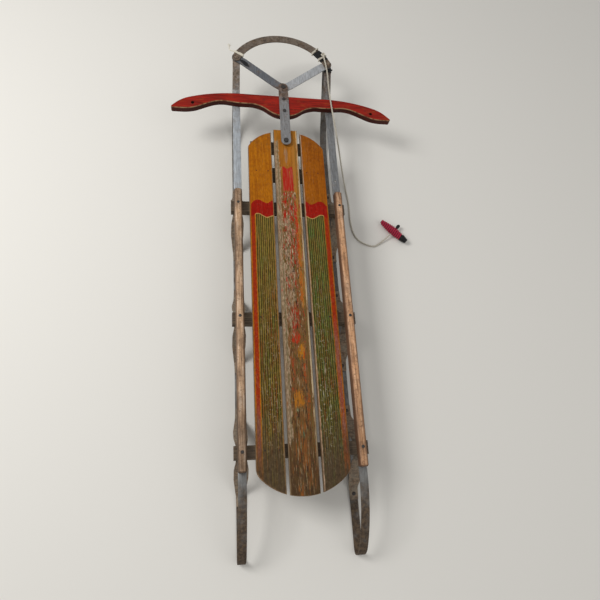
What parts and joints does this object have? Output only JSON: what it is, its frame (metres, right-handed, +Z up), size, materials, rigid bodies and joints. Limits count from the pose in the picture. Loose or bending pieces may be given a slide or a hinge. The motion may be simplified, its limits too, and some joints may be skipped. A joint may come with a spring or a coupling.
{
  "type": "steerable sled",
  "caption": "Slatted wooden sled on steel runners, with a pivoting steering bar that bends the runners' fronts through a strap, two struts and a front bow.",
  "frame": {"origin": "on the ground under the runners, at the middle of the sled's length and width, without its cord", "axes": "+Y towards the front bow, +Z up, +X to the rider's right"},
  "size_m": [0.7175, 1.51, 0.16],
  "materials": {
    "slat_wood": "worn amber varnish with painted stripes",
    "frame_wood": "weathered brown",
    "rail_wood": "bare, worn smooth",
    "runner_steel": "rust brown with worn grey",
    "strip_steel": "dull grey with rust",
    "knee_steel": "dull dark grey",
    "red_wood": "worn red paint",
    "bolt_steel": "dark, worn",
    "cord": "off-white braided cord",
    "grip_cord": "crimson cord winding",
    "black_tape": "black tape"
  },
  "bodies": {
    "sled": {"deck_slat_left": "slat_wood", "deck_slat_centre": "slat_wood", "deck_slat_right": "slat_wood", "crossbeam_front": "frame_wood", "crossbeam_middle": "frame_wood", "crossbeam_rear": "frame_wood", "deck_cleat_front": "frame_wood", "deck_cleat_second": "frame_wood", "side_rail_left": "rail_wood", "side_rail_right": "rail_wood", "runner_left": "runner_steel", "runner_right": "runner_steel", "top_strip_left": "strip_steel", "top_strip_right": "strip_steel", "knee_front_left": "knee_steel", "knee_front_right": "knee_steel", "knee_middle_left": "knee_steel", "knee_middle_right": "knee_steel", "knee_rear_left": "knee_steel", "knee_rear_right": "knee_steel", "pivot_bolt": "bolt_steel", "cord": "cord", "hand_grip": "grip_cord", "cord_knot": "black_tape"},
    "steering": {"steering_bar": "red_wood", "steering_strap": "strip_steel", "bar_bolts": "bolt_steel"},
    "front": {"front_bow": "strip_steel", "strut_left": "strip_steel", "strut_right": "strip_steel", "linkage_pin": "bolt_steel", "corner_rivets": "bolt_steel", "cord_lashing": "cord"}
  },
  "joints": [
    {"name": "steering_hinge", "type": "hinge", "parent": "sled", "child": "steering", "pos_m": [0, 0.364, 0.1223], "axis": [0, 0, 1], "range_deg": [-12, 12], "stiffness_Nm_per_rad": 60},
    {"name": "front_shift", "type": "slide", "parent": "sled", "child": "front", "axis": [1, 0, 0], "range_m": [-0.0425, 0.0425], "deforming": ["runner_left", "runner_right", "top_strip_left", "top_strip_right", "cord"]}
  ],
  "couplings": [
    {"joint": "front_shift", "follows": "steering_hinge", "m_per_rad": -0.2018}
  ]
}
